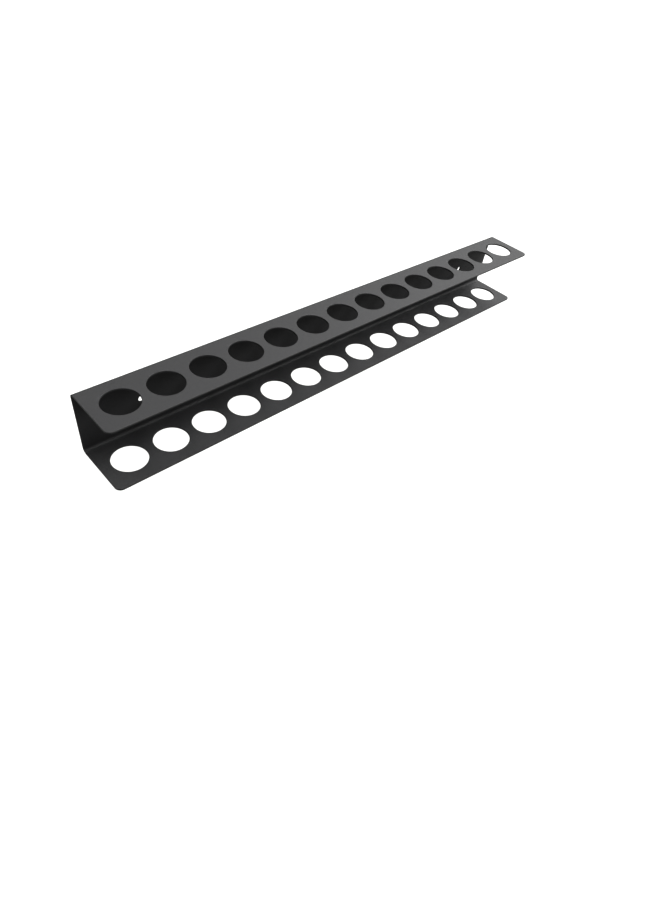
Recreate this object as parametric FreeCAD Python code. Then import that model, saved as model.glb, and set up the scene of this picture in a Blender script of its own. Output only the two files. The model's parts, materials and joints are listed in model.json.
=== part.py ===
import FreeCAD, Part
import os

os.makedirs("parts", exist_ok=True)

# Screwdriver rack, folded from one steel sheet into a channel with its open side to the front.
# X runs along the rack, the open front faces -Y, the wall side is at +Y and +Z is up.
# The origin is at the middle of the footprint, on the underside. Sizes are in millimetres.

# Folded channel
LENGTH = 400.0
DEPTH = 40.0
HEIGHT = 45.0
SHEET = 1.2
BEND_INSIDE_RADIUS = 2.0
FLANGE_CORNER_RADIUS = 4.0

# Tool holes, in line above each other in the two flanges
TOOL_HOLE_DIAMETER = 22.0
TOOL_HOLE_PITCH = 28.0
TOOL_HOLE_FROM_FRONT = 19.0
TOOL_HOLE_MIN_FROM_END = 18.0

# Wall screw holes, one near each end of the web
SCREW_HOLE_DIAMETER = 4.5
SCREW_HOLE_FROM_END = 40.0
SCREW_HOLE_FROM_BASE = 22.5

# How far a cutting tool reaches past the sheet on each side
CUT_OVERRUN = 2.0

# A fraction of a pitch, so that a row that fits exactly keeps its last hole
ROW_SLACK = 0.001

# Places worked out from the sizes above
bend_outside_radius = BEND_INSIDE_RADIUS + SHEET
left_end = -LENGTH / 2
right_end = LENGTH / 2
front = -DEPTH / 2
wall_side = DEPTH / 2


def point(x, y, z):
    return FreeCAD.Vector(x, y, z)


def straight(start, end):
    return Part.LineSegment(start, end).toShape()


def quarter_turn(centre, radius, from_side, to_side):
    """A quarter circle about centre, from one side to the next, each given as a unit vector."""
    start = centre + from_side * radius
    end = centre + to_side * radius
    middle = centre + (from_side + to_side).normalize() * radius
    return Part.Arc(start, middle, end).toShape()


def channel():
    """The folded sheet: the outside line of its section, thickened inwards and drawn along X."""
    up = FreeCAD.Vector(0, 0, 1)
    down = FreeCAD.Vector(0, 0, -1)
    back = FreeCAD.Vector(0, 1, 0)
    bend_y = wall_side - bend_outside_radius
    top_bend = point(left_end, bend_y, HEIGHT - bend_outside_radius)
    base_bend = point(left_end, bend_y, bend_outside_radius)
    top_fold = quarter_turn(top_bend, bend_outside_radius, up, back)
    base_fold = quarter_turn(base_bend, bend_outside_radius, back, down)
    top_flange = straight(point(left_end, front, HEIGHT), point(left_end, bend_y, HEIGHT))
    web = straight(top_bend + back * bend_outside_radius, base_bend + back * bend_outside_radius)
    base_flange = straight(point(left_end, bend_y, 0), point(left_end, front, 0))
    outside_line = Part.Wire([top_flange, top_fold, web, base_fold, base_flange])
    section = outside_line.makeOffset2D(SHEET, fill=True, openResult=True)
    return section.extrude(point(LENGTH, 0, 0))


def plan():
    """The rack's outline from above, with the two free corners of the flanges rounded, as a prism."""
    left = FreeCAD.Vector(-1, 0, 0)
    right = FreeCAD.Vector(1, 0, 0)
    forward = FreeCAD.Vector(0, -1, 0)
    corner_y = front + FLANGE_CORNER_RADIUS
    left_corner = point(left_end + FLANGE_CORNER_RADIUS, corner_y, 0)
    right_corner = point(right_end - FLANGE_CORNER_RADIUS, corner_y, 0)
    outline = Part.Wire(
        [
            straight(point(left_end, wall_side, 0), point(left_end, corner_y, 0)),
            quarter_turn(left_corner, FLANGE_CORNER_RADIUS, left, forward),
            straight(point(left_corner.x, front, 0), point(right_corner.x, front, 0)),
            quarter_turn(right_corner, FLANGE_CORNER_RADIUS, forward, right),
            straight(point(right_end, corner_y, 0), point(right_end, wall_side, 0)),
            straight(point(right_end, wall_side, 0), point(left_end, wall_side, 0)),
        ]
    )
    return Part.Face(outline).extrude(point(0, 0, HEIGHT))


def tool_hole_places():
    """Where the tool holes stand along X: as many as fit between the ends, centred on the rack."""
    room = LENGTH - 2 * TOOL_HOLE_MIN_FROM_END
    steps = int(room / TOOL_HOLE_PITCH + ROW_SLACK)
    first = -steps * TOOL_HOLE_PITCH / 2
    return [first + step * TOOL_HOLE_PITCH for step in range(steps + 1)]


def tool_hole(x):
    """The punch for one tool hole, through both flanges at once."""
    foot = point(x, front + TOOL_HOLE_FROM_FRONT, -CUT_OVERRUN)
    reach = HEIGHT + 2 * CUT_OVERRUN
    return Part.makeCylinder(TOOL_HOLE_DIAMETER / 2, reach, foot, point(0, 0, 1))


def screw_hole(x):
    """The punch for one screw hole, through the web."""
    foot = point(x, wall_side - SHEET - CUT_OVERRUN, SCREW_HOLE_FROM_BASE)
    reach = SHEET + 2 * CUT_OVERRUN
    return Part.makeCylinder(SCREW_HOLE_DIAMETER / 2, reach, foot, point(0, 1, 0))


def rack():
    tool_holes = [tool_hole(x) for x in tool_hole_places()]
    screw_holes = [
        screw_hole(left_end + SCREW_HOLE_FROM_END),
        screw_hole(right_end - SCREW_HOLE_FROM_END),
    ]
    return channel().common(plan()).cut(tool_holes + screw_holes)


rack().exportStep("parts/rack.step")
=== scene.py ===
import json
import math

import bmesh
import bpy
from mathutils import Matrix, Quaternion, Vector


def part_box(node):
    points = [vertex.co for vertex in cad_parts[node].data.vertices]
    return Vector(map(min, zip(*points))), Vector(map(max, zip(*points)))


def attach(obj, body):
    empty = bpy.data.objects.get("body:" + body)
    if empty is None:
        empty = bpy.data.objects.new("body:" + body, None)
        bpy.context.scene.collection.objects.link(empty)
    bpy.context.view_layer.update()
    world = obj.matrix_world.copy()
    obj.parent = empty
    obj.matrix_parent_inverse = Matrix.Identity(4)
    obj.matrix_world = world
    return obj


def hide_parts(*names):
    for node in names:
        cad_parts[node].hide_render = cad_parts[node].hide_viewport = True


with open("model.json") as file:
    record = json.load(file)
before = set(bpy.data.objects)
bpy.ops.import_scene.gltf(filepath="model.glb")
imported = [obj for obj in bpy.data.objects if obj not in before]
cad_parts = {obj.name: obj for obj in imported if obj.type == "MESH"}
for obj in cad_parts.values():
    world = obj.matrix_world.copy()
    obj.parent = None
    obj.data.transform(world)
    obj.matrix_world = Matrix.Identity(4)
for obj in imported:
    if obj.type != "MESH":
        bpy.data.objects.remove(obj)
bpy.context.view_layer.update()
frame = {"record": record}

MM = 0.001

# Sizes of the folded sheet, in metres
SHEET = 0.0012
BEND_INSIDE_RADIUS = 0.0020
FLANGE_CORNER_RADIUS = 0.004
EDGE_ROUNDING = 0.00022

# The side of the modelled skin to which the sheet's thickness is added
INWARDS = -1.0

# Fineness of the mesh: steps along a cell's side, round half a corner, across a bend and a rounded edge
SIDE_STEPS = 16
HALF_CORNER = math.radians(45)
CORNER_STEPS = 4
BEND_STEPS = 8
EDGE_STEPS = 3

# Where the rings of faces round a hole end, as shares of the way from its rim to its cell's outline
RING_SHARES = (0.0, 0.12, 0.4, 1.0)

# Points closer than the first are welded, and edges sharper than the second are rounded
WELD_DISTANCE = 1e-6
SHARP_EDGE = math.radians(40)

# Powder coat: its colours and its gloss
DARK_GRAIN = (0.0084, 0.0084, 0.0087, 1)
LIGHT_GRAIN = (0.0156, 0.0156, 0.0160, 1)
COAT_IOR = 1.46
COAT_SPECULAR_LEVEL = 0.21
GLOSSIEST_ROUGHNESS = 0.58
DULLEST_ROUGHNESS = 0.72
GLOSS_PATCHES_PER_METRE = 420
GLOSS_PATCH_DETAIL = 3

# Powder coat: the size, detail, height and strength of its relief
GRAINS_PER_METRE = 2600
GRAIN_DETAIL = 2
GRAIN_HEIGHT = 0.00008
GRAIN_STRENGTH = 0.8
WAVES_PER_METRE = 520
WAVE_DETAIL = 1
WAVE_HEIGHT = 0.00012
WAVE_STRENGTH = 0.15

# Floor and surroundings, each just bright enough to show as pure white
FLOOR_HALF_WIDTH = 6.0
FLOOR_COLOUR = (0.03, 0.03, 0.0297, 1)
FLOOR_ROUGHNESS = 0.9
FLOOR_GLOW = 0.72
STUDIO_WHITE = (1, 1, 0.985, 1)
STUDIO_BRIGHTNESS = 0.72

# Softboxes: where each stands, its width and depth, and its power in watts
OVERHEAD_PLACE = (-0.15, 0.22, 1.30)
OVERHEAD_SIZE = (1.0, 0.9)
OVERHEAD_POWER = 23
FRONT_PLACE = (0.30, -0.66, 1.14)
FRONT_SIZE = (2.4, 0.3)
FRONT_POWER = 34
FAR_TOP_PLACE = (0.90, -0.25, 1.20)
FAR_TOP_SIZE = (1.6, 0.5)
FAR_TOP_POWER = 64
LIGHTS_AIM = (0, 0, 0)

# The photograph's long side and focal length in pixels, the sensor in millimetres, and the camera's place
# and direction, fitted to the tool holes and the edges of the rack
FRAME_LONG_SIDE = 900
FOCAL_PIXELS = 570.6
SENSOR = 36.0
CAMERA_PLACE = Vector((-0.28167, -0.22993, 0.25562))
CAMERA_FORWARD = Vector((0.554619, 0.449355, -0.700341))
CAMERA_ROLL = math.radians(10.68)
NEAREST_SEEN = 0.01
FARTHEST_SEEN = 50.0


# Camera
def photo_camera():
    """The camera at the photograph's viewpoint."""
    data = bpy.data.cameras.new("photo_camera")
    data.sensor_fit = "AUTO"
    data.sensor_width = SENSOR
    data.lens = FOCAL_PIXELS * SENSOR / FRAME_LONG_SIDE
    data.clip_start = NEAREST_SEEN
    data.clip_end = FARTHEST_SEEN
    camera = bpy.data.objects.new("photo_camera", data)
    bpy.context.scene.collection.objects.link(camera)
    level = CAMERA_FORWARD.to_track_quat("-Z", "Y")
    camera.rotation_mode = "QUATERNION"
    camera.rotation_quaternion = level @ Quaternion((0, 0, 1), CAMERA_ROLL)
    camera.location = CAMERA_PLACE
    bpy.context.scene.camera = camera


# The flat blank and its folds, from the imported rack's box
low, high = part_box("rack")
bend_outside_radius = SHEET + BEND_INSIDE_RADIUS
flange_flat = (high.y - low.y) - bend_outside_radius
web_flat = (high.z - low.z) - 2 * bend_outside_radius
bend_run = math.pi / 2 * bend_outside_radius
web_start = flange_flat + bend_run
web_end = web_start + web_flat
base_start = web_end + bend_run
blank_width = base_start + flange_flat


def fold(x, s):
    """The place in space of a point of the flat blank. s runs across the outside of the sheet, from the
    front edge of the top flange, round the web, to the front edge of the base flange."""
    radius = bend_outside_radius
    bend_y = high.y - radius
    top_bend_z = high.z - radius
    base_bend_z = low.z + radius
    if s <= flange_flat:
        return Vector((x, low.y + s, high.z))
    if s < web_start:
        turn = (s - flange_flat) / radius
        return Vector((x, bend_y + radius * math.sin(turn), top_bend_z + radius * math.cos(turn)))
    if s <= web_end:
        return Vector((x, high.y, top_bend_z - (s - web_start)))
    if s < base_start:
        turn = (s - web_end) / radius
        return Vector((x, bend_y + radius * math.cos(turn), base_bend_z - radius * math.sin(turn)))
    return Vector((x, bend_y - (s - base_start), low.z))


# Cells of the blank, as closed loops of points
def spread(start, end, steps):
    """steps points from start towards end, evenly spaced, without the end itself."""
    return [start + (end - start) * i / steps for i in range(steps)]


def rectangle_loop(x0, x1, s0, s1):
    """A closed loop of points round a cell of the blank, from the corner (x1, s0) by way of (x1, s1)."""
    return (
        [(x1, s) for s in spread(s0, s1, SIDE_STEPS)]
        + [(x, s1) for x in spread(x1, x0, SIDE_STEPS)]
        + [(x0, s) for s in spread(s1, s0, SIDE_STEPS)]
        + [(x, s0) for x in spread(x0, x1, SIDE_STEPS)]
    )


def corner_loop(x0, x1, s0, s1):
    """The same loop with the corner (x1, s0) rounded. x1 is the rack's end and s0 the flange's front edge.
    x1 may be less than x0, and s1 less than s0, for the other corners of the blank."""
    toward_x = math.copysign(1, x1 - x0)
    toward_s = math.copysign(1, s1 - s0)
    centre_x = x1 - toward_x * FLANGE_CORNER_RADIUS
    centre_s = s0 + toward_s * FLANGE_CORNER_RADIUS

    def on_arc(step):
        turn = HALF_CORNER * step / CORNER_STEPS
        return (centre_x + toward_x * FLANGE_CORNER_RADIUS * math.cos(turn),
                centre_s - toward_s * FLANGE_CORNER_RADIUS * math.sin(turn))

    straight_steps = SIDE_STEPS - CORNER_STEPS
    return (
        [on_arc(CORNER_STEPS - step) for step in range(CORNER_STEPS)]
        + [(x1, s) for s in spread(centre_s, s1, straight_steps)]
        + [(x, s1) for x in spread(x1, x0, SIDE_STEPS)]
        + [(x0, s) for s in spread(s1, s0, SIDE_STEPS)]
        + [(x, s0) for x in spread(x0, centre_x, straight_steps)]
        + [on_arc(2 * CORNER_STEPS - step) for step in range(CORNER_STEPS)]
    )


def flange_loop(x0, x1, front, back):
    """The loop round a flange's cell, with its free corner rounded at either end of the rack."""
    if x0 == low.x:
        return corner_loop(x1, x0, front, back)
    if x1 == high.x:
        return corner_loop(x0, x1, front, back)
    return rectangle_loop(x0, x1, front, back)


# Faces of the sheet
def add_quad(mesh, points):
    """One face of the sheet, from four points of the blank."""
    mesh.faces.new([mesh.verts.new(fold(x, s)) for x, s in points])


def between(a, b, share):
    """The point of the blank that lies a share of the way from a to b."""
    return (a[0] + (b[0] - a[0]) * share, a[1] + (b[1] - a[1]) * share)


def add_ring(mesh, centre, radius, loop):
    """The sheet between a round hole and the loop of its cell, in rings of faces."""
    def bearing(point):
        return math.atan2(point[1] - centre[1], point[0] - centre[0])

    count = len(loop)
    start = bearing(loop[0])
    step = math.copysign(2 * math.pi / count, math.sin(bearing(loop[1]) - start))
    turns = [start + step * i for i in range(count)]
    rim = [(centre[0] + radius * math.cos(turn), centre[1] + radius * math.sin(turn)) for turn in turns]
    rings = [[between(a, b, share) for a, b in zip(rim, loop)] for share in RING_SHARES]
    for inner, outer in zip(rings, rings[1:]):
        for i in range(count):
            j = (i + 1) % count
            add_quad(mesh, [inner[i], outer[i], outer[j], inner[j]])


def add_grid(mesh, x0, x1, s0, s1, s_steps):
    """A plain cell of the blank."""
    xs = spread(x0, x1, SIDE_STEPS) + [x1]
    ss = spread(s0, s1, s_steps) + [s1]
    for xa, xb in zip(xs, xs[1:]):
        for sa, sb in zip(ss, ss[1:]):
            add_quad(mesh, [(xa, sa), (xb, sa), (xb, sb), (xa, sb)])


def mounts_named(start):
    """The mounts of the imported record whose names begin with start."""
    return [mount for mount in frame["record"]["mounts"] if mount["name"].startswith(start)]


def add_flanges(mesh, x0, x1, tool_hole):
    """One cell of the top flange and the one below it of the base flange, each with its tool hole."""
    x = tool_hole["pos_m"][0]
    from_front = tool_hole["pos_m"][1] - low.y
    radius = tool_hole["dims"]["r_mm"] * MM
    add_ring(mesh, (x, from_front), radius, flange_loop(x0, x1, 0, flange_flat))
    add_ring(mesh, (x, blank_width - from_front), radius, flange_loop(x0, x1, blank_width, base_start))


def add_web(mesh, x0, x1, screws):
    """One cell of the web, with a screw hole where one falls in it."""
    radius = screws["dims"]["hole_r_mm"] * MM
    spacing = screws["dims"]["spacing_x_mm"] * MM
    screw_xs = [screws["pos_m"][0] + side * spacing / 2 for side in (-1, 1)]
    screw_s = web_start + (high.z - bend_outside_radius - screws["pos_m"][2])
    here = [x for x in screw_xs if x0 < x < x1]
    if here:
        add_ring(mesh, (here[0], screw_s), radius, rectangle_loop(x0, x1, web_start, web_end))
    else:
        add_grid(mesh, x0, x1, web_start, web_end, SIDE_STEPS)


def rack_mesh():
    """The outside skin of the folded sheet, cell by cell, one cell to each tool hole."""
    tool_holes = mounts_named("tool_hole")
    screws = mounts_named("wall_screws")[0]
    hole_xs = [hole["pos_m"][0] for hole in tool_holes]
    edges = [low.x] + [(a + b) / 2 for a, b in zip(hole_xs, hole_xs[1:])] + [high.x]
    mesh = bmesh.new()
    for tool_hole, x0, x1 in zip(tool_holes, edges, edges[1:]):
        add_flanges(mesh, x0, x1, tool_hole)
        add_grid(mesh, x0, x1, flange_flat, web_start, BEND_STEPS)
        add_grid(mesh, x0, x1, web_end, base_start, BEND_STEPS)
        add_web(mesh, x0, x1, screws)
    bmesh.ops.remove_doubles(mesh, verts=mesh.verts, dist=WELD_DISTANCE)
    bmesh.ops.recalc_face_normals(mesh, faces=mesh.faces)
    data = bpy.data.meshes.new("rack_sheet")
    mesh.to_mesh(data)
    mesh.free()
    return data


def rack_sheet(material):
    """The folded sheet with its thickness and the small rounding that a coated edge has."""
    piece = bpy.data.objects.new("rack_sheet", rack_mesh())
    bpy.context.scene.collection.objects.link(piece)
    piece.data.materials.append(material)
    for face in piece.data.polygons:
        face.use_smooth = True
    thickness = piece.modifiers.new("sheet_thickness", "SOLIDIFY")
    thickness.thickness = SHEET
    thickness.offset = INWARDS
    thickness.use_even_offset = True
    rounding = piece.modifiers.new("edge_rounding", "BEVEL")
    rounding.width = EDGE_ROUNDING
    rounding.segments = EDGE_STEPS
    rounding.limit_method = "ANGLE"
    rounding.angle_limit = SHARP_EDGE
    rounding.use_clamp_overlap = False
    piece.modifiers.new("flat_faces_stay_flat", "WEIGHTED_NORMAL")
    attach(piece, "root")
    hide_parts("rack")


# Materials
def powder_coat():
    """Matte black powder coat: a fine pebbled skin over a slower waviness, with a faintly uneven gloss."""
    material = bpy.data.materials.new("powder_coat")
    material.use_nodes = True
    nodes = material.node_tree.nodes
    links = material.node_tree.links
    shader = nodes["Principled BSDF"]
    shader.inputs["IOR"].default_value = COAT_IOR
    shader.inputs["Specular IOR Level"].default_value = COAT_SPECULAR_LEVEL
    place = nodes.new("ShaderNodeTexCoord")

    def noise(scale, detail):
        node = nodes.new("ShaderNodeTexNoise")
        node.inputs["Scale"].default_value = scale
        node.inputs["Detail"].default_value = detail
        links.new(place.outputs["Object"], node.inputs["Vector"])
        return node

    def bump(source, strength, height):
        node = nodes.new("ShaderNodeBump")
        node.inputs["Strength"].default_value = strength
        node.inputs["Distance"].default_value = height
        links.new(source.outputs["Fac"], node.inputs["Height"])
        return node

    grains = noise(GRAINS_PER_METRE, GRAIN_DETAIL)
    tint = nodes.new("ShaderNodeMix")
    tint.data_type = "RGBA"
    tint.inputs["A"].default_value = DARK_GRAIN
    tint.inputs["B"].default_value = LIGHT_GRAIN
    links.new(grains.outputs["Fac"], tint.inputs["Factor"])
    links.new(tint.outputs["Result"], shader.inputs["Base Color"])

    patches = noise(GLOSS_PATCHES_PER_METRE, GLOSS_PATCH_DETAIL)
    gloss = nodes.new("ShaderNodeMapRange")
    gloss.inputs["To Min"].default_value = GLOSSIEST_ROUGHNESS
    gloss.inputs["To Max"].default_value = DULLEST_ROUGHNESS
    links.new(patches.outputs["Fac"], gloss.inputs["Value"])
    links.new(gloss.outputs["Result"], shader.inputs["Roughness"])

    waves = bump(noise(WAVES_PER_METRE, WAVE_DETAIL), WAVE_STRENGTH, WAVE_HEIGHT)
    pebbles = bump(grains, GRAIN_STRENGTH, GRAIN_HEIGHT)
    links.new(waves.outputs["Normal"], pebbles.inputs["Normal"])
    links.new(pebbles.outputs["Normal"], shader.inputs["Normal"])
    return material


def pale_floor_material():
    """A dull floor that glows by itself, so that no lamp has to light it."""
    material = bpy.data.materials.new("pale_floor")
    material.use_nodes = True
    shader = material.node_tree.nodes["Principled BSDF"]
    shader.inputs["Base Color"].default_value = FLOOR_COLOUR
    shader.inputs["Roughness"].default_value = FLOOR_ROUGHNESS
    shader.inputs["Emission Color"].default_value = STUDIO_WHITE
    shader.inputs["Emission Strength"].default_value = FLOOR_GLOW
    return material


# Stage and lights
def pale_floor():
    """A plain square floor under the rack."""
    half = FLOOR_HALF_WIDTH
    corners = [(-half, -half, 0), (half, -half, 0), (half, half, 0), (-half, half, 0)]
    data = bpy.data.meshes.new("floor")
    data.from_pydata(corners, [], [(0, 1, 2, 3)])
    floor = bpy.data.objects.new("floor", data)
    floor.data.materials.append(pale_floor_material())
    bpy.context.scene.collection.objects.link(floor)


def soft_light(name, place, size, power):
    """A rectangular softbox that faces the rack."""
    data = bpy.data.lights.new(name, "AREA")
    data.shape = "RECTANGLE"
    data.size, data.size_y = size
    data.energy = power
    light = bpy.data.objects.new(name, data)
    bpy.context.scene.collection.objects.link(light)
    light.location = place
    light.rotation_mode = "QUATERNION"
    light.rotation_quaternion = (Vector(LIGHTS_AIM) - Vector(place)).to_track_quat("-Z", "Y")


def studio():
    """White surroundings, three softboxes and a high-contrast look, as in a catalogue picture."""
    world = bpy.data.worlds.new("studio")
    bpy.context.scene.world = world
    world.use_nodes = True
    background = world.node_tree.nodes["Background"]
    background.inputs["Color"].default_value = STUDIO_WHITE
    background.inputs["Strength"].default_value = STUDIO_BRIGHTNESS
    soft_light("overhead", OVERHEAD_PLACE, OVERHEAD_SIZE, OVERHEAD_POWER)
    soft_light("front", FRONT_PLACE, FRONT_SIZE, FRONT_POWER)
    soft_light("far_top", FAR_TOP_PLACE, FAR_TOP_SIZE, FAR_TOP_POWER)
    bpy.context.scene.view_settings.view_transform = "Standard"
    bpy.context.scene.view_settings.look = "High Contrast"


photo_camera()
rack_sheet(powder_coat())
pale_floor()
studio()
